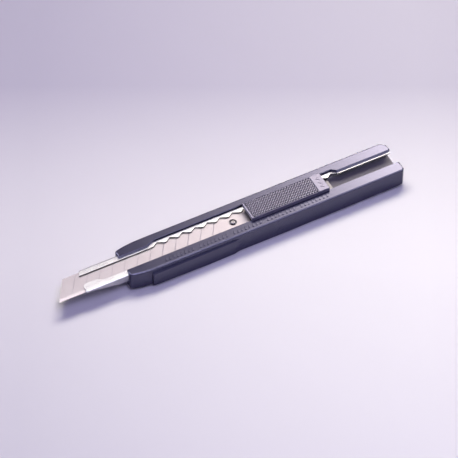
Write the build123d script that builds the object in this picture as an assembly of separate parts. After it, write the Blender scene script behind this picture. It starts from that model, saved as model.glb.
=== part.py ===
"""Snap off knife: a cast handle with two rails, a steel blade channel with a notched lip, and a
slider that carries a scored 9 mm blade.  Millimetres.  +X points to the blade's tip, +Y is the side of
the cutting edge, +Z is up.  The origin is under the middle of the whole object, on the table."""
from build123d import *
import math
import os

os.makedirs("parts", exist_ok=True)

# ---- driving dimensions -------------------------------------------------------------------------
# blade: a 9 mm snap-off blade
BLADE_WIDTH = 9.0
BLADE_THICK = 0.38
SEGMENT = 5.0                 # distance between score lines
SEGMENT_COUNT = 12
SCORE_ANGLE = 58.0            # between a score line and the blade's length
TANG = 15.0                   # last score line to the blade's end, along the middle
HOLE_TO_END = 7.1             # blade hole to the blade's end
HOLE_RADIUS = 1.5
BEVEL = 1.1                   # width of the ground cutting edge
SCORE_DEPTH = 0.07
SCORE_WIDTH = 0.24
TIP_X = 68.3                  # cutting corner of the front segment

# handle
REAR_X = -68.3
FRONT_X = 41.4
HEIGHT = 9.0
HALF_WIDTH = 7.6
TAPER_X = 30.0                # the nose of each rail starts to narrow here
FRONT_HALF_WIDTH = 6.5
FRONT_CORNER = 0.8
REAR_CORNER = 3.0             # round corner of the far rail
REAR_CHAMFER = 0.8            # small corner of the near rail
FLAT_FRONT_X = 12.0           # the underside is flat between these two
FLAT_REAR_X = -22.0
FRONT_RISE = 1.3
REAR_RISE = 1.0
TOP_EDGE = 0.55
BOTTOM_EDGE = 0.6
SLOT_NEAR = 3.45              # inner edge of the near rail
SLOT_FAR = 3.5                # inner edge of the far rail at its two ends
SLOT_RELIEF = 4.9             # inner edge of the far rail along the notches
RELIEF_FRONT_X = 30.0
RELIEF_REAR_X = -46.4
RELIEF_FRONT_SLOPE = 3.4
RELIEF_REAR_SLOPE = 1.8

# side grip, the same on both sides
GRIP_FRONT_X = 33.4
GRIP_REAR_X = 1.0
GRIP_RAMP = 2.5
GRIP_PROUD_FRONT = 0.9
GRIP_PROUD_REAR = 0.5
GRIP_TOP = 7.0

# blade channel, folded from steel strip
STEEL = 0.4
CHANNEL_HALF = 5.05
CHANNEL_BOTTOM = 4.4
CHANNEL_TOP = 8.0
CHANNEL_BEND = 0.6
CHANNEL_REAR_X = -68.0
FAR_LIP_END_X = 56.0
FAR_LIP_END_SLANT = 1.0
NOSE_X = 57.8
NOSE_RAMP_X = 44.6            # the channel's floor rises from here to meet the blade
NOSE_FLAT_X = 55.0
NOSE_BOTTOM = 6.6
FAR_LIP_EDGE = 2.6
NEAR_LIP_EDGE = 2.75
EAR_EDGE = 1.4                # the near lip widens to this at the nose
EAR_START_X = 50.2
EAR_FULL_X = 52.4
EAR_ROUND = 1.5
NOTCH_FIRST_X = 25.9
NOTCH_COUNT = 15
NOTCH_DEPTH = 1.3
NOTCH_CREST = 0.6             # where the crest lies between two notches, counted towards the rear
CHANNEL_GAP = 0.05
LIP_GAP = 0.15                # between the lips and the blade's top face

# slider
CAP_FRONT_X = -8.1
CAP_REAR_X = -39.4
CAP_HALF = 4.0
CAP_TOP = 10.6
CAP_BOTTOM = 9.15
CAP_DRAFT = 0.15              # the cap is this much wider at its foot, each side
CAP_RIDGE = 0.8               # length of the plain ridge in front of the knurled field
CAP_BAND = 4.2                # length of the plain band behind it
CAP_MARGIN = 0.5
CAP_FIELD_DEPTH = 0.3
NECK_HALF = 2.2
NECK_FRONT_X = -11.0
NECK_REAR_X = -38.0
CARRIER_TOP = 7.0
CARRIER_THICK = 0.8
CARRIER_HALF = 4.4
CARRIER_FRONT_X = 0.6
CARRIER_REAR_X = -42.0
RUNNER_THICK = 0.6
RUNNER_BOTTOM = 4.85
STUD_RADIUS = 0.95
STUD_TOP = 7.8
CAP_RIVET_RADIUS = 0.8
CAP_RIVET_XS = (-15.0, -34.5)
CAP_RIVET_HEAD_RADIUS = 1.5
CAP_RIVET_HEAD = 0.4
CAP_RIVET_TOP = 9.3

# click spring: a leaf that stands on edge beside the neck
SPRING_THICK = 0.25
SPRING_BOTTOM = 7.55
SPRING_TOP = 8.7
SPRING_FRONT_X = -13.0
SPRING_REAR_X = -31.0
SPRING_NOTCH = 10             # the notch that its nose lies in at rest
SPRING_NOSE_HALF = 1.5
SPRING_POCKET_DEPTH = 1.1

# channel rivets
CHANNEL_RIVETS = {"front": 22.0, "rear": -36.0}
CHANNEL_RIVET_RADIUS = 1.2
CHANNEL_RIVET_HEAD_RADIUS = 2.2
CHANNEL_RIVET_HEAD_Z = 0.9
CHANNEL_RIVET_HEAD = 1.0
CHANNEL_RIVET_DOME_RADIUS = 1.9
CHANNEL_RIVET_DOME = 0.4
BOSS_RADIUS = 3.2

# casting relief under the channel
TROUGH_FRONT_X = 36.0
TROUGH_REAR_X = -62.0
TROUGH_HALF = 3.6
TROUGH_BOTTOM = 2.0

# ---- worked out from them -----------------------------------------------------------------------
BLADE_TOP = CHANNEL_TOP - STEEL - LIP_GAP
BLADE_BOTTOM = BLADE_TOP - BLADE_THICK
SCORE_SLANT = BLADE_WIDTH / math.tan(math.radians(SCORE_ANGLE))
FRONT_MID_X = TIP_X - SCORE_SLANT / 2
BLADE_REAR_MID_X = FRONT_MID_X - SEGMENT * SEGMENT_COUNT - TANG
STUD_X = BLADE_REAR_MID_X + HOLE_TO_END
CARRIER_BOTTOM = CARRIER_TOP - CARRIER_THICK
SPRING_NOSE_X = NOTCH_FIRST_X - SEGMENT * SPRING_NOTCH
TALL = 40.0                   # longer than any height, for cutters


# ---- helpers ------------------------------------------------------------------------------------
def block(x, y, z):
    """A box from three pairs of limits."""
    size = [abs(b - a) for a, b in (x, y, z)]
    middle = [(a + b) / 2 for a, b in (x, y, z)]
    return Pos(*middle) * Box(*size)


def rod(x, y, low, high, radius):
    """An upright cylinder."""
    return Pos(x, y, (low + high) / 2) * Cylinder(radius, high - low)


def prism(points, low, high):
    """A plan outline of straight lines, raised from low to high."""
    face = make_face(Polyline(*points, close=True))
    return Pos(0, 0, low) * extrude(face, high - low)


def wall(points, half):
    """A side outline in X and Z, given width to both sides."""
    outline = [(x, 0, z) for x, z in points]
    face = make_face(Polyline(*outline, close=True))
    return extrude(face, half, both=True)


# ---- handle -------------------------------------------------------------------------------------
def rail_outline():
    """The handle seen from above: two straight sides that narrow in a curve to a rounded front."""
    taper_end = FRONT_X - FRONT_CORNER
    near = [Line((REAR_X, HALF_WIDTH), (TAPER_X, HALF_WIDTH))]
    near += [Spline((TAPER_X, HALF_WIDTH), (taper_end, FRONT_HALF_WIDTH), tangents=((1, 0), (1, -0.28)))]
    far = [mirror(edge, Plane.XZ) for edge in near]
    nose_half = FRONT_HALF_WIDTH - FRONT_CORNER
    nose = [Line((FRONT_X, -nose_half), (FRONT_X, nose_half))]
    bulge = FRONT_CORNER * (1 - math.sqrt(0.5))
    for side in (1, -1):
        start = (taper_end, side * FRONT_HALF_WIDTH)
        middle = (FRONT_X - bulge, side * (FRONT_HALF_WIDTH - bulge - 0.1))
        nose += [ThreePointArc(start, middle, (FRONT_X, side * nose_half))]
    rear = [Line((REAR_X, -HALF_WIDTH), (REAR_X, HALF_WIDTH))]
    return make_face(near + nose + far + rear)


def belly():
    """The handle seen from the side: flat in the middle and rising to both ends."""
    points = [(REAR_X, REAR_RISE), (FLAT_REAR_X, 0), (FLAT_FRONT_X, 0), (FRONT_X, FRONT_RISE)]
    return wall(points + [(FRONT_X, HEIGHT), (REAR_X, HEIGHT)], 2 * HALF_WIDTH)


def grip(side):
    """A raised side panel, higher at its front step than at its rear ramp."""
    points = [(GRIP_FRONT_X, side * SLOT_RELIEF), (GRIP_FRONT_X, side * (HALF_WIDTH + GRIP_PROUD_FRONT - 0.3))]
    points += [(GRIP_FRONT_X - 0.5, side * (HALF_WIDTH + GRIP_PROUD_FRONT))]
    points += [(GRIP_REAR_X, side * (HALF_WIDTH + GRIP_PROUD_REAR))]
    points += [(GRIP_REAR_X - GRIP_RAMP, side * (HALF_WIDTH - 0.05)), (GRIP_REAR_X - GRIP_RAMP, side * SLOT_RELIEF)]
    return prism(points, -1, GRIP_TOP)


def slot_cutter():
    """The open slot between the rails; the far rail is cut back along the notches."""
    points = [(REAR_X - 1, SLOT_NEAR), (FRONT_X + 1, SLOT_NEAR), (FRONT_X + 1, -SLOT_FAR)]
    points += [(RELIEF_FRONT_X, -SLOT_FAR), (RELIEF_FRONT_X - RELIEF_FRONT_SLOPE, -SLOT_RELIEF)]
    points += [(RELIEF_REAR_X + RELIEF_REAR_SLOPE, -SLOT_RELIEF), (RELIEF_REAR_X, -SLOT_FAR)]
    points += [(REAR_X - 1, -SLOT_FAR)]
    return prism(points, CHANNEL_TOP - 1, TALL)


def soften_bottom(body):
    """Take the sharp edge off all round the underside."""
    under = [face for face in body.faces() if face.normal_at().Z < -0.9]
    seen = [edge for face in under for edge in face.edges()]
    rim = [edge for edge in seen if sum(edge.is_same(other) for other in seen) == 1]
    return chamfer(rim, BOTTOM_EDGE)


def make_handle():
    body = extrude(rail_outline(), HEIGHT)
    rear_edges = body.edges().filter_by(Axis.Z).group_by(Axis.X)[0].sort_by(Axis.Y)
    body = fillet(rear_edges[0], REAR_CORNER)
    rear_edges = body.edges().filter_by(Axis.Z).group_by(Axis.X)[0].sort_by(Axis.Y)
    body = chamfer(rear_edges[-1], REAR_CHAMFER)
    body = fillet(body.faces().sort_by(Axis.Z)[-1].edges(), TOP_EDGE)
    body = body + grip(1) + grip(-1)
    body = body & belly()
    body = soften_bottom(body)
    half = CHANNEL_HALF + CHANNEL_GAP
    body = body - block((REAR_X - 1, FRONT_X + 1), (-half, half), (CHANNEL_BOTTOM, CHANNEL_TOP + CHANNEL_GAP))
    body = body - slot_cutter()
    trough = block((TROUGH_REAR_X, TROUGH_FRONT_X), (-TROUGH_HALF, TROUGH_HALF), (TROUGH_BOTTOM, CHANNEL_BOTTOM))
    for x in CHANNEL_RIVETS.values():
        trough = trough - rod(x, 0, 0, TALL, BOSS_RADIUS)
    body = body - trough
    for x in CHANNEL_RIVETS.values():
        head_top = CHANNEL_RIVET_HEAD_Z + CHANNEL_RIVET_HEAD
        body = body - rod(x, 0, -1, head_top, CHANNEL_RIVET_HEAD_RADIUS + CHANNEL_GAP)
        body = body - rod(x, 0, 0, TALL, CHANNEL_RIVET_RADIUS)
    return body


# ---- blade channel ------------------------------------------------------------------------------
def channel_side(inset, front):
    """The channel seen from the side, drawn smaller by the sheet's thickness for its hollow."""
    low = CHANNEL_BOTTOM + inset
    nose = NOSE_BOTTOM + inset
    top = CHANNEL_TOP - inset
    end = CHANNEL_REAR_X - inset
    return [(end, low), (NOSE_RAMP_X, low), (NOSE_FLAT_X, nose), (front, nose), (front, top), (end, top)]


def notched_edge():
    """The far lip's edge, front to rear: a slow rise to each crest and a steeper drop from it."""
    points = [(NOTCH_FIRST_X + (1 - NOTCH_CREST) * SEGMENT, -FAR_LIP_EDGE)]
    for index in range(NOTCH_COUNT):
        apex = NOTCH_FIRST_X - index * SEGMENT
        points += [(apex, -FAR_LIP_EDGE - NOTCH_DEPTH)]
        points += [(apex - (NOTCH_CREST - 0.12) * SEGMENT, -FAR_LIP_EDGE - 0.12)]
        points += [(apex - NOTCH_CREST * SEGMENT, -FAR_LIP_EDGE)]
        points += [(apex - (NOTCH_CREST + 0.08) * SEGMENT, -FAR_LIP_EDGE - 0.12)]
    return points[:-1]


def lip_gap():
    """The opening between the two lips, seen from above."""
    points = [(NOSE_X + 2, -FAR_LIP_EDGE)] + notched_edge()
    points += [(CHANNEL_REAR_X - 1, -FAR_LIP_EDGE), (CHANNEL_REAR_X - 1, NEAR_LIP_EDGE)]
    points += [(EAR_START_X, NEAR_LIP_EDGE), (EAR_FULL_X, EAR_EDGE), (NOSE_X + 2, EAR_EDGE)]
    return prism(points, CHANNEL_TOP - STEEL - 0.01, TALL)


def nose_trim():
    """What is cut from the nose: the slanted end of the far lip and the round end of the near one."""
    far = [(FAR_LIP_END_X, -CHANNEL_HALF - 1), (FAR_LIP_END_X, -CHANNEL_HALF)]
    far += [(FAR_LIP_END_X + FAR_LIP_END_SLANT, -FAR_LIP_EDGE), (FAR_LIP_END_X + FAR_LIP_END_SLANT, 0)]
    far += [(NOSE_X + 1, 0), (NOSE_X + 1, -CHANNEL_HALF - 1)]
    cutter = prism(far, CHANNEL_BOTTOM, TALL)
    lip_bottom = CHANNEL_TOP - STEEL - 0.01
    corner = block((NOSE_X - EAR_ROUND, NOSE_X + 1), (EAR_EDGE - 1, EAR_EDGE + EAR_ROUND), (lip_bottom, TALL))
    corner = corner - rod(NOSE_X - EAR_ROUND, EAR_EDGE + EAR_ROUND, 0, TALL, EAR_ROUND)
    return cutter + corner


def is_bend(edge):
    """Whether an edge runs along one side of the channel, where the strip is folded."""
    on_side = abs(abs(edge.center().Y) - CHANNEL_HALF) < 0.01
    return on_side and edge.bounding_box().size.X > 1


def make_channel():
    shell = wall(channel_side(0, NOSE_X), CHANNEL_HALF)
    bends = [edge for edge in shell.edges() if is_bend(edge)]
    shell = fillet(bends, CHANNEL_BEND)
    hollow = wall(channel_side(STEEL, NOSE_X + 1), CHANNEL_HALF - STEEL)
    shell = shell - hollow - lip_gap() - nose_trim()
    for x in CHANNEL_RIVETS.values():
        shell = shell - rod(x, 0, 0, CHANNEL_BOTTOM + 1, CHANNEL_RIVET_RADIUS)
    return shell


def make_channel_rivet(x):
    head_top = CHANNEL_RIVET_HEAD_Z + CHANNEL_RIVET_HEAD
    floor = CHANNEL_BOTTOM + STEEL
    rivet = rod(x, 0, CHANNEL_RIVET_HEAD_Z, head_top, CHANNEL_RIVET_HEAD_RADIUS)
    rivet = rivet + rod(x, 0, CHANNEL_RIVET_HEAD_Z, floor, CHANNEL_RIVET_RADIUS)
    dome = rod(x, 0, floor, floor + CHANNEL_RIVET_DOME, CHANNEL_RIVET_DOME_RADIUS)
    dome = chamfer(dome.faces().sort_by(Axis.Z)[-1].edges(), CHANNEL_RIVET_DOME * 0.6)
    return rivet + dome


# ---- blade --------------------------------------------------------------------------------------
def blade_strip():
    """The whole strip with its ground edge, before it is divided."""
    half = BLADE_WIDTH / 2
    middle = (BLADE_TOP + BLADE_BOTTOM) / 2
    section = [(0, -half, BLADE_BOTTOM), (0, half - BEVEL, BLADE_BOTTOM), (0, half, middle - 0.02)]
    section += [(0, half, middle + 0.02), (0, half - BEVEL, BLADE_TOP), (0, -half, BLADE_TOP)]
    face = make_face(Polyline(*section, close=True))
    length = TIP_X - BLADE_REAR_MID_X + BLADE_WIDTH
    strip = extrude(face, length, dir=(-1, 0, 0))
    return Pos(TIP_X + 1, 0, 0) * strip


def slant_band(front, rear):
    """A piece of the strip between two slanted lines, given by their places on the middle line."""
    reach = BLADE_WIDTH / 2 + 1
    lean = reach / math.tan(math.radians(SCORE_ANGLE))
    points = [(front + lean, reach), (front - lean, -reach), (rear - lean, -reach), (rear + lean, reach)]
    return prism(points, BLADE_BOTTOM - 1, BLADE_TOP + 1)


def score_cutter(x):
    """The shallow V that is rolled into the top face at one score line."""
    half = SCORE_WIDTH / 2
    low = BLADE_TOP - SCORE_DEPTH
    corners = [(-half, 0, BLADE_TOP), (0, 0, low), (half, 0, BLADE_TOP), (0, 0, BLADE_TOP + half)]
    bar = extrude(make_face(Polyline(*corners, close=True)), BLADE_WIDTH, both=True)
    return Pos(x, 0, 0) * Rot(0, 0, SCORE_ANGLE - 90) * bar


def make_blade():
    """The segments from the tip backwards, then the tang."""
    strip = blade_strip()
    scores = [FRONT_MID_X - SEGMENT * index for index in range(SEGMENT_COUNT + 1)]
    for x in scores[1:]:
        strip = strip - score_cutter(x)
    pieces = {}
    for index in range(SEGMENT_COUNT):
        pieces[f"blade_segment_{index + 1:02d}"] = strip & slant_band(scores[index], scores[index + 1])
    tang = strip & slant_band(scores[-1], BLADE_REAR_MID_X)
    pieces["blade_tang"] = tang - rod(STUD_X, 0, 0, TALL, HOLE_RADIUS)
    return pieces


# ---- slider -------------------------------------------------------------------------------------
def make_cap():
    """The thumb piece: a block that rides on the rails, and a neck that reaches down into the channel."""
    foot = CAP_HALF + CAP_DRAFT
    section = [(0, -foot, CAP_BOTTOM), (0, foot, CAP_BOTTOM), (0, CAP_HALF, CAP_TOP), (0, -CAP_HALF, CAP_TOP)]
    face = make_face(Polyline(*section, close=True))
    cap = Pos(CAP_FRONT_X, 0, 0) * extrude(face, CAP_FRONT_X - CAP_REAR_X, dir=(-1, 0, 0))
    cap = chamfer(cap.faces().sort_by(Axis.Z)[-1].edges(), 0.25)
    field = (CAP_REAR_X + CAP_BAND, CAP_FRONT_X - CAP_RIDGE)
    inner = CAP_HALF - CAP_MARGIN
    cap = cap - block(field, (-inner, inner), (CAP_TOP - CAP_FIELD_DEPTH, TALL))
    neck = block((NECK_REAR_X, NECK_FRONT_X), (-NECK_HALF, NECK_HALF), (CARRIER_TOP, CAP_BOTTOM + 0.5))
    pocket = (SPRING_REAR_X - 0.5, SPRING_FRONT_X - 3)
    neck = neck - block(pocket, (-NECK_HALF - 1, -NECK_HALF + SPRING_POCKET_DEPTH), (CARRIER_TOP, SPRING_TOP + 0.2))
    seat = (SPRING_FRONT_X - 3, SPRING_FRONT_X + 3)
    neck = neck - block(seat, (-NECK_HALF - 1, -NECK_HALF + SPRING_THICK), (CARRIER_TOP, SPRING_TOP))
    cap = cap + neck
    for x in CAP_RIVET_XS:
        cap = cap - rod(x, 0, CARRIER_BOTTOM, CAP_RIVET_TOP, CAP_RIVET_RADIUS)
    return cap


def make_carrier():
    """The steel shoe under the blade: a plate with two runners that stand on the channel's floor."""
    plate = block((CARRIER_REAR_X, CARRIER_FRONT_X), (-CARRIER_HALF, CARRIER_HALF), (CARRIER_BOTTOM, CARRIER_TOP))
    shoe = plate
    for side in (-1, 1):
        edges = (side * (CARRIER_HALF - RUNNER_THICK), side * CARRIER_HALF)
        shoe = shoe + block((CARRIER_REAR_X, CARRIER_FRONT_X), edges, (RUNNER_BOTTOM, CARRIER_BOTTOM))
    shoe = shoe - rod(STUD_X, 0, 0, TALL, STUD_RADIUS)
    for x in CAP_RIVET_XS:
        shoe = shoe - rod(x, 0, 0, TALL, CAP_RIVET_RADIUS)
    return shoe


def make_stud():
    stud = rod(STUD_X, 0, CARRIER_BOTTOM, STUD_TOP, STUD_RADIUS)
    return chamfer(stud.faces().sort_by(Axis.Z)[-1].edges(), 0.2)


def make_cap_rivet(x):
    head = rod(x, 0, CARRIER_BOTTOM - CAP_RIVET_HEAD, CARRIER_BOTTOM, CAP_RIVET_HEAD_RADIUS)
    return head + rod(x, 0, CARRIER_BOTTOM - CAP_RIVET_HEAD, CAP_RIVET_TOP, CAP_RIVET_RADIUS)


def make_spring():
    """A leaf with a bent nose that drops into a notch of the far lip."""
    inner = -NECK_HALF + SPRING_THICK
    tip = -FAR_LIP_EDGE - NOTCH_DEPTH + 0.35
    nose = SPRING_NOSE_X
    front = [(SPRING_FRONT_X, inner), (nose + SPRING_NOSE_HALF, inner), (nose, tip + SPRING_THICK)]
    front += [(nose - SPRING_NOSE_HALF, inner), (SPRING_REAR_X, inner)]
    back = [(x, y - SPRING_THICK) for x, y in reversed(front)]
    return prism(front + back, SPRING_BOTTOM, SPRING_TOP)


# ---- all pieces ---------------------------------------------------------------------------------
def make_all():
    pieces = {"handle_body": make_handle(), "blade_channel": make_channel()}
    for name, x in CHANNEL_RIVETS.items():
        pieces[f"channel_rivet_{name}"] = make_channel_rivet(x)
    pieces.update(make_blade())
    pieces["slider_cap"] = make_cap()
    pieces["blade_carrier"] = make_carrier()
    pieces["blade_stud"] = make_stud()
    pieces["click_spring"] = make_spring()
    for name, x in zip(("front", "rear"), CAP_RIVET_XS):
        pieces[f"cap_rivet_{name}"] = make_cap_rivet(x)
    return pieces


for node, shape in make_all().items():
    shape.label = node
    export_step(shape, f"parts/{node}.step")
    box = shape.bounding_box()
    print(f"{node:22s} solids {len(shape.solids())}  x {box.min.X:7.2f} {box.max.X:7.2f}"
          f"  y {box.min.Y:6.2f} {box.max.Y:6.2f}  z {box.min.Z:6.2f} {box.max.Z:6.2f}")
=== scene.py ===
# %% [markdown]
# # A snap off knife
# A craft knife with a cast handle, a folded steel channel and a slider that pushes a scored 9 mm blade.
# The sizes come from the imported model, which is the frame. This script makes the surfaces that the eye
# sees: rounded casting edges, stamped steel, a knurled thumb piece and a finish for every metal.

# %% Load the frame
import math

import bmesh
import bpy
from mathutils import Matrix, Vector


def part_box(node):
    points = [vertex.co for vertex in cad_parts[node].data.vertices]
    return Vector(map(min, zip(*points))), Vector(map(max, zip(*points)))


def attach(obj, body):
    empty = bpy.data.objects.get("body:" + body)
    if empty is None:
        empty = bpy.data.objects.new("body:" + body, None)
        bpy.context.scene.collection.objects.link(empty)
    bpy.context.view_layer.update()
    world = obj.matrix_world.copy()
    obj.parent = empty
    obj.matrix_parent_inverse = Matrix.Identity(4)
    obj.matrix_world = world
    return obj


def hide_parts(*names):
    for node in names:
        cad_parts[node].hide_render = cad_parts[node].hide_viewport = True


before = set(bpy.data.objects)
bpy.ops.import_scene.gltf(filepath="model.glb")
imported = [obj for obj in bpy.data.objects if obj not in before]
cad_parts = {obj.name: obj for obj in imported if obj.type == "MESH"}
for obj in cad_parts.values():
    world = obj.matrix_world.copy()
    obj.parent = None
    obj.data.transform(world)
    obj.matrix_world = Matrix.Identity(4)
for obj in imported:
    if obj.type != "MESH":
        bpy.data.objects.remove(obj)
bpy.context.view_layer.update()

MM = 0.001
handle_low, handle_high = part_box("handle_body")
print("handle:", [round(v / MM, 1) for v in handle_high - handle_low], "mm")

# %% [markdown]
# Colours are easiest to pick as hex values, as in any paint program, but the renderer adds light in linear
# values. One function turns the first into the second. Another adds a node, sets it and links it, which
# keeps each finish short enough to read as a recipe.

# %% Colour and node helpers
def linear(hex_colour):
    """An sRGB hex colour as linear red, green, blue and alpha."""
    channels = [int(hex_colour[i:i + 2], 16) / 255 for i in (1, 3, 5)]
    return [c / 12.92 if c <= 0.04045 else ((c + 0.055) / 1.055) ** 2.4 for c in channels] + [1.0]


def add(tree, kind, settings=None, sockets=None, links=None):
    """Adds one shader node: its properties, the values of its inputs, and what feeds them."""
    new = tree.nodes.new("ShaderNode" + kind)
    for name, value in (settings or {}).items():
        setattr(new, name, value)
    for name, value in (sockets or {}).items():
        new.inputs[name].default_value = value
    for name, source in (links or {}).items():
        tree.links.new(source, new.inputs[name])
    return new


def new_finish(name):
    """A material, its node tree, its shader and the coordinates of the piece it is on."""
    material = bpy.data.materials.new(name)
    material.use_nodes = True
    tree = material.node_tree
    return material, tree, tree.nodes["Principled BSDF"], add(tree, "TexCoord").outputs["Object"]


def per_metre(size_mm):
    """The scale that makes a noise pattern's grains this many millimetres wide."""
    return 1 / (size_mm * MM)

# %% [markdown]
# The camera stands well back with a long lens, as for a catalogue picture, so that the knife's long sides
# stay almost parallel. Its direction is given by an azimuth and an elevation, and its frame is moved a
# little sideways so that the knife lies a touch left of and above the middle.

# %% Camera
CAMERA_AZIMUTH = math.radians(152.15)
CAMERA_ELEVATION = math.radians(48.9)
CAMERA_DISTANCE = 1.2
CAMERA_LENS = 266.3
AIM = Vector((1.3, 0, 9.0)) * MM
MOVE_RIGHT = 1.90 * MM
MOVE_DOWN = 2.07 * MM

level = math.cos(CAMERA_ELEVATION)
back = Vector((math.sin(CAMERA_AZIMUTH) * level, -math.cos(CAMERA_AZIMUTH) * level,
               math.sin(CAMERA_ELEVATION)))
right = Vector((math.cos(CAMERA_AZIMUTH), math.sin(CAMERA_AZIMUTH), 0))
up = back.cross(right)
camera = bpy.data.objects.new("camera", bpy.data.cameras.new("camera"))
bpy.context.scene.collection.objects.link(camera)
camera.data.lens = CAMERA_LENS
camera.data.clip_start = 0.05
stand = AIM + back * CAMERA_DISTANCE + right * MOVE_RIGHT - up * MOVE_DOWN
camera.matrix_world = Matrix.Translation(stand) @ Matrix((right, up, back)).transposed().to_4x4()
bpy.context.scene.camera = camera
print("camera stands at", [round(v, 3) for v in camera.matrix_world.translation])

# %% [markdown]
# Polished metal shows what is around it, so the light is set up as panels with a known brightness and not
# as bare lamps. A card is a panel that only gloss sees: it puts a reflection on lacquer and steel, and adds
# no light to the paper. With the two apart, the shadows and the sheen can be set on their own.

# %% Panels and cards
def panel(name, centre, aim, width, depth, radiance, hex_colour):
    """A soft rectangular light. Its radiance is how bright the panel itself looks, with white paper near 1."""
    data = bpy.data.lights.new(name, "AREA")
    data.shape = "RECTANGLE"
    data.size, data.size_y = width, depth
    data.color = linear(hex_colour)[:3]
    data.energy = radiance * math.pi * width * depth
    lamp = bpy.data.objects.new(name, data)
    lamp.location = centre
    lamp.rotation_euler = (Vector(aim) - Vector(centre)).to_track_quat("-Z", "Y").to_euler()
    lamp.visible_camera = False
    bpy.context.scene.collection.objects.link(lamp)
    return lamp


def card(name, centre, aim, width, depth, radiance, hex_colour):
    """A card that only polished metal and lacquer see: it adds a reflection and no light on the floor."""
    lamp = panel(name, centre, aim, width, depth, radiance, hex_colour)
    lamp.visible_diffuse = False
    return lamp

# %% [markdown]
# The key panel is a long one, above the knife and a little to its far side, and throws the soft shadow
# towards the camera. A lavender panel, higher and on the near side, fills the shadow in.

# %% Key and fill
WARM_WHITE, LAVENDER = "#FFF9EC", "#B9B4E2"
panel("key_panel", (-0.08, -0.152, 0.40), (-0.08, 0, 0), 0.36, 0.14, 11.0, WARM_WHITE)
panel("near_fill", (0.05, 0.30, 0.72), (0, 0, 0), 0.30, 0.30, 10.2, LAVENDER)

# %% [markdown]
# The rails grow brighter towards the knife's rear end. That sheen is the mirror image of a row of cards
# above its far side, each brighter than the one before it. Four more cards light the edges, the front and
# the two sides.

# %% Cards for the sheen and the edges
SHEEN_HEIGHT = 0.256
SHEEN_Y = -0.20
SHEEN_DEPTH = 0.12
SHEEN_COLOUR = "#FFF6DA"
# Where each card starts along X, and its radiance. The last entry only ends the one before it.
SHEEN_STEPS = [(-0.055, 1.2), (-0.080, 1.9), (-0.100, 2.8), (-0.120, 4.6), (-0.140, 7.2),
               (-0.160, 11.5), (-0.180, 17.0), (-0.420, 0)]
for (edge, radiance), (next_edge, _) in zip(SHEEN_STEPS, SHEEN_STEPS[1:]):
    centre = Vector(((edge + next_edge) / 2, SHEEN_Y, SHEEN_HEIGHT))
    card("rail_sheen", centre, centre - Vector((0, 0, 1)), edge - next_edge, SHEEN_DEPTH, radiance, SHEEN_COLOUR)

WHITE, COOL_WHITE = "#FFFFFF", "#F4F2FF"
card("edge_card", (-0.20, 0.50, 0.46), (-0.05, 0, 0), 0.60, 0.34, 7.0, WHITE)
card("front_card", (0.34, -0.40, 0.46), (0, 0, 0), 0.24, 0.24, 14.0, WHITE)
card("far_side_card", (0.70, 0.10, 0.60), (0, 0, 0), 0.90, 0.50, 2.5, COOL_WHITE)
card("rear_side_card", (-0.80, 0.10, 0.60), (0, 0, 0), 0.90, 0.50, 2.5, COOL_WHITE)
print("lights:", len(bpy.data.lights))

# %% [markdown]
# A dim lavender surround colours the shadows. Seen past the edge of the paper from a low angle it would be
# a dark wall, so the camera is shown a pale backdrop in its place.

# %% Surround and backdrop
world = bpy.data.worlds.new("surround")
world.use_nodes = True
room = world.node_tree
seen = add(room, "LightPath")
surround = room.nodes["Background"]
surround.inputs["Color"].default_value = linear("#ACA4E2")
surround.inputs["Strength"].default_value = 0.22
backdrop = add(room, "Background", sockets={"Color": linear("#DCD8E6"), "Strength": 0.8})
choice = add(room, "MixShader", links={0: seen.outputs["Is Camera Ray"], 1: surround.outputs["Background"],
                                       2: backdrop.outputs["Background"]})
room.links.new(choice.outputs["Shader"], room.nodes["World Output"].inputs["Surface"])
bpy.context.scene.world = world
bpy.context.scene.view_settings.view_transform = "Standard"

# %% [markdown]
# The knife lies on a sheet of smooth pale paper. Paper is a rough white dielectric. One wide flat face is
# enough.

# %% Floor
FLOOR_HALF = 1.5
floor_mesh = bmesh.new()
bmesh.ops.create_grid(floor_mesh, x_segments=1, y_segments=1, size=FLOOR_HALF)
floor_data = bpy.data.meshes.new("floor")
floor_mesh.to_mesh(floor_data)
floor_mesh.free()
floor = bpy.data.objects.new("floor", floor_data)
bpy.context.scene.collection.objects.link(floor)

# %% [markdown]
# The paper's colour is painted with light and shade that change slowly across it: painted lighter towards one
# side, and painted shade towards the far edge. The pattern is turned to a fixed direction, which is the same as
# the camera's, and two slow ramps along its axes are multiplied.

# %% Paper
# Painted light and shade on the paper: a ramp from dim to lit across it, and painted shade towards the far edge.
SIDE_REACH = 71 * MM
SIDE_PAINTED_DIM, SIDE_PAINTED_LIT = 0.94, 1.25
SHADE_FROM, SHADE_TO = -15 * MM, 75 * MM
SHADE_DEPTH = 0.42
SHADE_CURVE = 1.6
DARKEST = 0.5

# Smooth paper: dull and nearly white, with no highlight to speak of.
paper, tree, shader, place = new_finish("smooth_paper")
shader.inputs["Roughness"].default_value = 0.7
shader.inputs["Specular IOR Level"].default_value = 0.2
turned = add(tree, "Mapping", settings={"vector_type": "TEXTURE"},
             sockets={"Rotation": (0, 0, CAMERA_AZIMUTH)}, links={"Vector": place})
across = add(tree, "SeparateXYZ", links={"Vector": turned.outputs["Vector"]})
side = add(tree, "MapRange", sockets={"From Min": -SIDE_REACH, "From Max": SIDE_REACH, "To Min": SIDE_PAINTED_DIM,
                                      "To Max": SIDE_PAINTED_LIT}, links={"Value": across.outputs["X"]})
far = add(tree, "MapRange", sockets={"From Min": SHADE_FROM, "From Max": SHADE_TO},
          links={"Value": across.outputs["Y"]})
shade_falloff = add(tree, "Math", settings={"operation": "POWER"}, links={0: far.outputs["Result"]})
shade_falloff.inputs[1].default_value = SHADE_CURVE
dim = add(tree, "MapRange", sockets={"To Min": 1.0, "To Max": 1.0 - SHADE_DEPTH},
          links={"Value": shade_falloff.outputs["Value"]})
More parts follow.
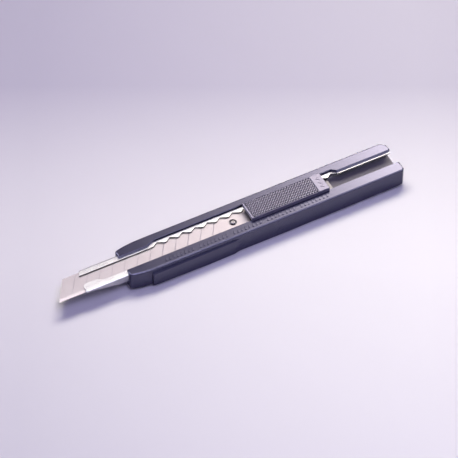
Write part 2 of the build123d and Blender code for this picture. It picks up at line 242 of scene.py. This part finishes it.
painted_light_level = add(tree, "Math", settings={"operation": "MULTIPLY"},
                links={0: side.outputs["Result"], 1: dim.outputs["Result"]})
tone = add(tree, "MapRange", sockets={"From Min": DARKEST, "From Max": SIDE_PAINTED_LIT},
           links={"Value": painted_light_level.outputs["Value"]})
painted_shade_mix = add(tree, "Mix", settings={"data_type": "RGBA"}, links={"Factor": tone.outputs["Result"]})
# The paper's colour in painted shade, then in painted light.
painted_shade_mix.inputs[6].default_value = linear("#A8A4B8")
painted_shade_mix.inputs[7].default_value = linear("#F8F7F4")
tree.links.new(painted_shade_mix.outputs[2], shader.inputs["Base Color"])
floor_data.materials.append(paper)
print("paper:", 2 * FLOOR_HALF, "m wide, finish", paper.name)

# %% [markdown]
# ## Finishes
# The handle is a zinc casting with a thin coat of dark metallic lacquer. Lacquer over metal reflects more
# than plain plastic, so it is part metal in the shader, and it is fairly smooth with a faint orange peel,
# the ripple that a sprayed coat dries with. The ripple is about a millimetre wide.

# %% Lacquered casting
CLOUD_MM = 6.0
GRAIN_MM = 0.25
PEEL_MM = 1.1
PEEL_DEPTH_MM = 0.03
GRAIN_DEPTH_MM = 0.008


def lacquer(name, hex_deep, hex_pale, roughness, metallic):
    """A sprayed metallic lacquer: two close colours in soft clouds, and orange peel with a fine grain."""
    material, tree, shader, place = new_finish(name)
    clouds = add(tree, "TexNoise", sockets={"Scale": per_metre(CLOUD_MM), "Detail": 3.0}, links={"Vector": place})
    colour = add(tree, "Mix", settings={"data_type": "RGBA"}, links={"Factor": clouds.outputs["Fac"]})
    colour.inputs[6].default_value = linear(hex_deep)
    colour.inputs[7].default_value = linear(hex_pale)
    tree.links.new(colour.outputs[2], shader.inputs["Base Color"])
    grain = add(tree, "TexNoise", sockets={"Scale": per_metre(GRAIN_MM), "Detail": 2.0}, links={"Vector": place})
    rough = add(tree, "MapRange", sockets={"To Min": roughness - 0.05, "To Max": roughness + 0.07},
                links={"Value": grain.outputs["Fac"]})
    tree.links.new(rough.outputs["Result"], shader.inputs["Roughness"])
    shader.inputs["Metallic"].default_value = metallic
    peel = add(tree, "TexNoise", sockets={"Scale": per_metre(PEEL_MM), "Detail": 1.0}, links={"Vector": place})
    ripple = add(tree, "Bump", sockets={"Strength": 0.25, "Distance": PEEL_DEPTH_MM * MM},
                 links={"Height": peel.outputs["Fac"]})
    tooth = add(tree, "Bump", sockets={"Strength": 0.2, "Distance": GRAIN_DEPTH_MM * MM},
                links={"Height": grain.outputs["Fac"], "Normal": ripple.outputs["Normal"]})
    tree.links.new(tooth.outputs["Normal"], shader.inputs["Normal"])
    return material


# Dark blue-grey and smooth: the eye sees deep sides, and a sheen that slides along the tops of the rails.
handle_lacquer = lacquer("lacquered_zinc_casting", "#3D3C55", "#46455E", 0.16, 0.6)
# Paler and duller, so that the thumb piece stands off the handle and its knurl doesn't glitter.
cap_lacquer = lacquer("lacquered_thumb_piece", "#5C596E", "#68657A", 0.36, 0.7)
print("lacquers:", handle_lacquer.name, cap_lacquer.name)

# %% [markdown]
# The channel is bright rolled stainless strip. Rolling leaves very fine lines along the strip, so its
# roughness is a noise that is stretched a long way along X. Metal has no colour of its own under the
# reflection: the base colour is the reflection's tint. The tints are darker than the metals' own, so that
# the steel stays below white under the key panel.

# %% Rolled, ground and plated steel
STAIN_MM = 4.0
SMOOTHEST, ROUGHEST = 0.75, 1.3


def steel(name, hex_colour, hex_dull, roughness, lines_mm, stretch, depth_mm):
    """Bare steel with the lines of rolling or grinding: above one, stretch draws them along X, below it across."""
    material, tree, shader, place = new_finish(name)
    shader.inputs["Metallic"].default_value = 1.0
    grain = (1 / stretch, 1.0, 1.0) if stretch > 1 else (1.0, stretch, 1.0)
    run = add(tree, "Mapping", sockets={"Scale": grain}, links={"Vector": place})
    lines = add(tree, "TexNoise", sockets={"Scale": per_metre(lines_mm), "Detail": 3.0, "Roughness": 0.6},
                links={"Vector": run.outputs["Vector"]})
    stain = add(tree, "TexNoise", sockets={"Scale": per_metre(STAIN_MM), "Detail": 4.0}, links={"Vector": place})
    colour = add(tree, "Mix", settings={"data_type": "RGBA"}, links={"Factor": stain.outputs["Fac"]})
    colour.inputs[6].default_value = linear(hex_colour)
    colour.inputs[7].default_value = linear(hex_dull)
    tree.links.new(colour.outputs[2], shader.inputs["Base Color"])
    rough = add(tree, "MapRange", sockets={"To Min": roughness * SMOOTHEST, "To Max": roughness * ROUGHEST},
                links={"Value": lines.outputs["Fac"]})
    tree.links.new(rough.outputs["Result"], shader.inputs["Roughness"])
    cut = add(tree, "Bump", sockets={"Strength": 0.3, "Distance": depth_mm * MM},
              links={"Height": lines.outputs["Fac"]})
    tree.links.new(cut.outputs["Normal"], shader.inputs["Normal"])
    return material


# Rolled and bright: the lips show as clean white bands with a faint run along the strip.
channel_finish = steel("rolled_stainless_strip", "#A9A8B2", "#9E9DA8", 0.28, 0.12, 30, 0.004)
# Ground across: softer and warmer than the channel, so the blade reads as a grey face between bright lips.
blade_finish = steel("ground_carbon_steel", "#87828C", "#7E7882", 0.42, 0.16, 0.12, 0.006)
# Zinc plate in a grey darkened as painted shade, for the shade under the blade: it stays back behind the bright
# parts.
shoe_finish = steel("zinc_plated_steel", "#5E5C64", "#54525A", 0.40, 0.4, 4, 0.006)
# Tempered spring steel: a blue-grey with a soft shine.
spring_finish = steel("blued_spring_steel", "#7C7F8E", "#6A6C78", 0.3, 0.1, 12, 0.003)
# A polished head in a grey darkened as painted shade, for the hole it stands in: a dark ring with one small
# highlight on the dome.
stud_finish = steel("stud_in_painted_shade", "#77747E", "#66636C", 0.22, 0.5, 1, 0.004)
# Nickel plate: the palest metal here. With the slider forward, one domed end shows as a white dot in the
# channel. The other rivets are underneath or inside.
rivet_finish = steel("nickel_plated_rivet", "#CFCED4", "#BEBCC2", 0.25, 0.5, 1, 0.004)
print("steels:", [finish.name for finish in (channel_finish, blade_finish, shoe_finish, spring_finish)])

# %% [markdown]
# Two kinds of face on the strip aren't bright, and both are painted shade. The inside of the channel's floor is a
# flat grey for the shade between the rails, and where the strip was sheared the torn faces are near black for the
# shadow and gap along the lips. Neither mirrors anything, so both are coats with no metal in them, and the
# lacquer's recipe makes them.

# %% Faces of the strip in painted shade
# Painted shade: a flat mid grey on the channel's floor, for the shade between the rails, without which the floor
# would shine there.
inside_shade_finish = lacquer("inside_of_strip_in_painted_shade", "#5E5A66", "#544F5C", 0.6, 0.0)
# Sheared faces painted almost black as painted shade: they draw the thin dark line of shadow and gap along the
# lips and round the notches.
sheared_shade_finish = lacquer("sheared_edge_in_painted_shade", "#1C1A1E", "#141216", 0.7, 0.0)
print("dull faces:", inside_shade_finish.name, sheared_shade_finish.name)

# %% [markdown]
# CAD parts whose shape is already right stay, and only get a finish.

# %% Finishes for the parts that stay
SLOT_FINISH = {"blade_steel": blade_finish, "carrier_steel": shoe_finish, "spring_steel": spring_finish,
               "rivet_steel": rivet_finish, "channel_steel": channel_finish, "handle_paint": handle_lacquer,
               "cap_paint": cap_lacquer}
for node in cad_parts.values():
    for cad_slot in node.material_slots:
        cad_slot.material = SLOT_FINISH[cad_slot.material.name.split(".")[0]]
print("finished", len(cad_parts), "parts")

# %% [markdown]
# ## Pieces
# A real casting has no knife-sharp edge: the die and the lacquer round every one, and each rounded edge
# catches a thin line of light. The CAD mesh is loose triangles, so a copy is merged and its flat areas are
# joined first, and a Bevel modifier then rounds what is sharper than thirty degrees.

# %% Piece helpers
WELD = 0.001 * MM
FLAT_ANGLE = math.radians(0.5)
SHARP_ANGLE = math.radians(30)


def clean_copy(node_name):
    """A CAD node as a bmesh of whole faces: doubles merged and flat triangles joined."""
    shell = bmesh.new()
    shell.from_mesh(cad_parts[node_name].data)
    for layer in list(shell.loops.layers.float_vector.values()):
        shell.loops.layers.float_vector.remove(layer)
    bmesh.ops.remove_doubles(shell, verts=shell.verts, dist=WELD)
    bmesh.ops.dissolve_limit(shell, angle_limit=FLAT_ANGLE, verts=shell.verts, edges=shell.edges)
    return shell


def make_piece(shell, name, body, material, stands_for=()):
    """An object from a bmesh, which rides on a body and stands for CAD nodes."""
    mesh = bpy.data.meshes.new(name)
    for face in shell.faces:
        face.smooth = True
    shell.to_mesh(mesh)
    shell.free()
    mesh.materials.append(material)
    piece = bpy.data.objects.new(name, mesh)
    bpy.context.scene.collection.objects.link(piece)
    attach(piece, body)
    if stands_for:
        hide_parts(*stands_for)
    print(name, "has", len(mesh.polygons), "faces")
    return piece


def flat_shading(piece):
    """Shades every face flat, for shapes that are all facets."""
    for polygon in piece.data.polygons:
        polygon.use_smooth = False


def round_edges(piece, width_mm, segments):
    """Rounds the sharp edges, with the flat faces still shaded flat."""
    rounding = piece.modifiers.new("rounded_edges", "BEVEL")
    rounding.width = width_mm * MM
    rounding.segments = segments
    rounding.limit_method = "ANGLE"
    rounding.angle_limit = SHARP_ANGLE
    rounding.harden_normals = True
    flatten = piece.modifiers.new("flat_faces", "WEIGHTED_NORMAL")
    flatten.weight = 100
    flatten.keep_sharp = True

# %% Handle casting
CASTING_EDGE = 0.18

casting = make_piece(clean_copy("handle_body"), "handle_casting", "handle", handle_lacquer,
                     ["handle_body"])
round_edges(casting, CASTING_EDGE, 2)

# %% [markdown]
# The channel is stamped from strip and folded. Where the punch has sheared the lips, and cut the row of
# notches that the slider clicks into, the metal is torn, and those faces are painted near black as painted shade
# for the shadow and gap along the lips. Those narrow faces are found by where they look: sideways or along the
# knife, and between the lips. The inside, painted a flat grey as painted shade, is what looks up from the floor.

# %% Blade channel
LIP_BOTTOM = 7.5
LIP_BEND = 4.4
FLOOR_TOP = 5.2
STRIP_EDGE = 0.06
SHEARED, INSIDE = 1, 2

channel_shell = clean_copy("blade_channel")
# Marks the faces that get painted shade: the sheared ones near black, the floor's inside a flat grey.
for face in channel_shell.faces:
    centre = face.calc_center_median() / MM
    if centre.z > LIP_BOTTOM and abs(centre.y) < LIP_BEND and abs(face.normal.z) < 0.3:
        face.material_index = SHEARED
    elif centre.z < FLOOR_TOP and abs(centre.y) < LIP_BEND and face.normal.z > 0.9:
        face.material_index = INSIDE
marked = [face.material_index for face in channel_shell.faces]
print("sheared faces:", marked.count(SHEARED), "inner faces:", marked.count(INSIDE))
channel = make_piece(channel_shell, "folded_channel", "handle", channel_finish,
                     ["blade_channel"])
channel.data.materials.append(sheared_shade_finish)
channel.data.materials.append(inside_shade_finish)
round_edges(channel, STRIP_EDGE, 2)

# %% [markdown]
# The stud that holds the blade is turned, with a domed head. The dome is a wide bevel of the cylinder's rim.

# %% Blade stud
STUD_DOME = 0.45

stud = make_piece(clean_copy("blade_stud"), "domed_stud", "slider", stud_finish, ["blade_stud"])
round_edges(stud, STUD_DOME, 4)

# %% [markdown]
# A row of short slanted ribs is cast into the near rail, for the thumb of the hand that holds it. One rib is
# a scaled cube, turned a little, and two loops set them out in groups.

# %% Ribs on the near rail
RIB_START = 27.0
RIB_END = -40.0
RIB_PITCH = 1.5
RIB_GROUP = 9
RIB_SIZE = (0.6, 1.4, 0.5)
RIB_Y = 5.65
RIB_SLANT = math.radians(-18)
RIB_EDGE = 0.08

ribs = bmesh.new()
for number in range(int((RIB_START - RIB_END) / RIB_PITCH)):
    if number % RIB_GROUP == RIB_GROUP - 1:
        continue
    rib = bmesh.ops.create_cube(ribs, size=1)["verts"]
    bmesh.ops.scale(ribs, vec=RIB_SIZE, verts=rib)
    bmesh.ops.rotate(ribs, verts=rib, cent=(0, 0, 0), matrix=Matrix.Rotation(RIB_SLANT, 3, "Z"))
    bmesh.ops.translate(ribs, vec=(RIB_START - number * RIB_PITCH, RIB_Y, handle_high.z / MM), verts=rib)
bmesh.ops.scale(ribs, vec=(MM, MM, MM), verts=ribs.verts)
rail_ribs = make_piece(ribs, "rail_ribs", "handle", handle_lacquer)
round_edges(rail_ribs, RIB_EDGE, 2)

# %% [markdown]
# The thumb piece is a block with a plain ridge in front, a sunk field for the knurl and a plain band behind.
# It starts as a cube: the top is inset, the inset face is moved to its place and pushed down, and every edge
# is bevelled, as the die and the lacquer leave it.

# %% Thumb piece
CAP_LOW, CAP_HIGH = (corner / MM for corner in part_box("slider_cap"))
CAP_FOOT = 9.15
CAP_DRAFT = 0.15
CAP_MARGIN = 0.5
CAP_RIDGE = 0.8
CAP_BAND = 4.2
FIELD_DEPTH = 0.45
CAP_EDGE = 0.14

cap = bmesh.new()
bmesh.ops.create_cube(cap, size=1)
size = Vector((CAP_HIGH.x - CAP_LOW.x, CAP_HIGH.y - CAP_LOW.y, CAP_HIGH.z - CAP_FOOT))
middle = Vector(((CAP_HIGH.x + CAP_LOW.x) / 2, 0, (CAP_HIGH.z + CAP_FOOT) / 2))
bmesh.ops.scale(cap, vec=size, verts=cap.verts)
bmesh.ops.translate(cap, vec=middle, verts=cap.verts)
top_verts = [v for v in cap.verts if v.co.z > middle.z]
bmesh.ops.scale(cap, vec=(1, 1 - 2 * CAP_DRAFT / size.y, 1), verts=top_verts)
top = max(cap.faces, key=lambda face: face.calc_center_median().z)
bmesh.ops.inset_region(cap, faces=[top], thickness=CAP_MARGIN)
front_verts = [v for v in top.verts if v.co.x > middle.x]
rear_verts = [v for v in top.verts if v.co.x < middle.x]
bmesh.ops.translate(cap, vec=(CAP_MARGIN - CAP_RIDGE, 0, 0), verts=front_verts)
bmesh.ops.translate(cap, vec=(CAP_BAND - CAP_MARGIN, 0, 0), verts=rear_verts)
field = bmesh.ops.extrude_discrete_faces(cap, faces=[top])["faces"][0]
bmesh.ops.translate(cap, vec=(0, 0, -FIELD_DEPTH), verts=field.verts)
field_x = sorted({round(v.co.x, 4) for v in field.verts})
field_y = sorted({round(v.co.y, 4) for v in field.verts})
field_z = CAP_HIGH.z - FIELD_DEPTH
print("knurled field", field_x, field_y)
bmesh.ops.bevel(cap, geom=cap.edges[:], offset=CAP_EDGE, offset_type="OFFSET", segments=2, profile=0.5,
                affect="EDGES", material=-1)
bmesh.ops.scale(cap, vec=(MM, MM, MM), verts=cap.verts)

# %% [markdown]
# The neck of the thumb piece reaches down between the rails. It is already right in the frame, so the part
# below the thumb piece's foot is cut from a copy and added.

# %% Neck and thumb piece together
NECK_OVERLAP = 0.02


def keep_side(shell, place, normal):
    """Cuts a bmesh by a plane and keeps what lies behind the plane's normal."""
    parts = shell.verts[:] + shell.edges[:] + shell.faces[:]
    bmesh.ops.bisect_plane(shell, geom=parts, dist=1e-7, plane_co=place, plane_no=normal, clear_outer=True)


def close_holes(shell):
    """Fills what a cut has left open."""
    open_edges = [edge for edge in shell.edges if edge.is_boundary]
    bmesh.ops.holes_fill(shell, edges=open_edges, sides=0)


neck = clean_copy("slider_cap")
keep_side(neck, Vector((0, 0, CAP_FOOT + NECK_OVERLAP)) * MM, Vector((0, 0, 1)))
close_holes(neck)
neck_mesh = bpy.data.meshes.new("neck")
neck.to_mesh(neck_mesh)
neck.free()
cap.from_mesh(neck_mesh)
bpy.data.meshes.remove(neck_mesh)
thumb_piece = make_piece(cap, "thumb_piece", "slider", cap_lacquer, ["slider_cap"])
flat_shading(thumb_piece)

# %% [markdown]
# The thumb piece is knurled so that a finger grips it. A knurl is a field of small pyramids with blunt tops.
# A grid of square cells, each inset and raised on its own, gives them, and turning it by 45 degrees staggers
# them. Four cuts trim the field to a rectangle, as the edge of a real tool would. The edge is then pulled
# down to a flat underside and closed. A real knurl of this kind is a little finer: this one is drawn as
# coarse and as deep as it needs to be to show.

# %% Knurled field
KNURL_PITCH = 1.10
KNURL_HEIGHT = 0.45
KNURL_FLANK = 0.21
KNURL_GAP = 0.10
KNURL_LIFT = 0.02
KNURL_SUNK = 0.05
SPARE_CELLS = 6

cell = KNURL_PITCH / math.sqrt(2)
cells = math.ceil((field_x[1] - field_x[0]) / cell) + SPARE_CELLS
knurl = bmesh.new()
bmesh.ops.create_grid(knurl, x_segments=cells, y_segments=cells, size=cells * cell / 2)
bmesh.ops.inset_individual(knurl, faces=knurl.faces[:], thickness=KNURL_FLANK, depth=KNURL_HEIGHT)
bmesh.ops.rotate(knurl, verts=knurl.verts, cent=(0, 0, 0), matrix=Matrix.Rotation(math.radians(45), 3, "Z"))
bmesh.ops.translate(knurl, vec=(sum(field_x) / 2, 0, field_z + KNURL_LIFT), verts=knurl.verts)
for axis, limits in ((Vector((1, 0, 0)), field_x), (Vector((0, 1, 0)), field_y)):
    for side, limit in zip((-1, 1), limits):
        keep_side(knurl, axis * (limit - side * KNURL_GAP), axis * side)
rim = [edge for edge in knurl.edges if edge.is_boundary]
skirt = bmesh.ops.extrude_edge_only(knurl, edges=rim)["geom"]
skirt_verts = [part for part in skirt if isinstance(part, bmesh.types.BMVert)]
bmesh.ops.scale(knurl, vec=(1, 1, 0), verts=skirt_verts)
bmesh.ops.translate(knurl, vec=(0, 0, field_z - KNURL_SUNK), verts=skirt_verts)
close_holes(knurl)
bmesh.ops.recalc_face_normals(knurl, faces=knurl.faces[:])
bmesh.ops.scale(knurl, vec=(MM, MM, MM), verts=knurl.verts)
knurled_field = make_piece(knurl, "knurled_field", "slider", cap_lacquer)
flat_shading(knurled_field)

# %% [markdown]
# The plain band behind the knurl carries raised arrow marks that point the way to push. Each mark is a bar
# that is folded in the middle: a thin box, split once, whose middle is moved forward.

# %% Arrow marks on the band
ARROW_YS = (-1.9, 0.0, 1.9)
ARROW_HALF = 0.7
ARROW_REACH = 0.9
ARROW_LINE = 0.5
ARROW_RISE = 0.15
ARROW_FROM_REAR = 1.5

arrows = bmesh.new()
for arrow_y in ARROW_YS:
    bar = bmesh.new()
    bmesh.ops.create_cube(bar, size=1)
    bmesh.ops.scale(bar, vec=(ARROW_LINE, 2 * ARROW_HALF, 2 * ARROW_RISE), verts=bar.verts)
    bmesh.ops.bisect_plane(bar, geom=bar.verts[:] + bar.edges[:] + bar.faces[:], dist=1e-6,
                           plane_co=(0, 0, 0), plane_no=(0, 1, 0))
    fold = [vert for vert in bar.verts if abs(vert.co.y) < 0.01]
    bmesh.ops.translate(bar, vec=(ARROW_REACH, 0, 0), verts=fold)
    bmesh.ops.translate(bar, vec=(CAP_LOW.x + ARROW_FROM_REAR, arrow_y, CAP_HIGH.z), verts=bar.verts)
    bar_mesh = bpy.data.meshes.new("bar")
    bar.to_mesh(bar_mesh)
    bar.free()
    arrows.from_mesh(bar_mesh)
    bpy.data.meshes.remove(bar_mesh)
bmesh.ops.scale(arrows, vec=(MM, MM, MM), verts=arrows.verts)
arrow_marks = make_piece(arrows, "arrow_marks", "slider", cap_lacquer)
flat_shading(arrow_marks)
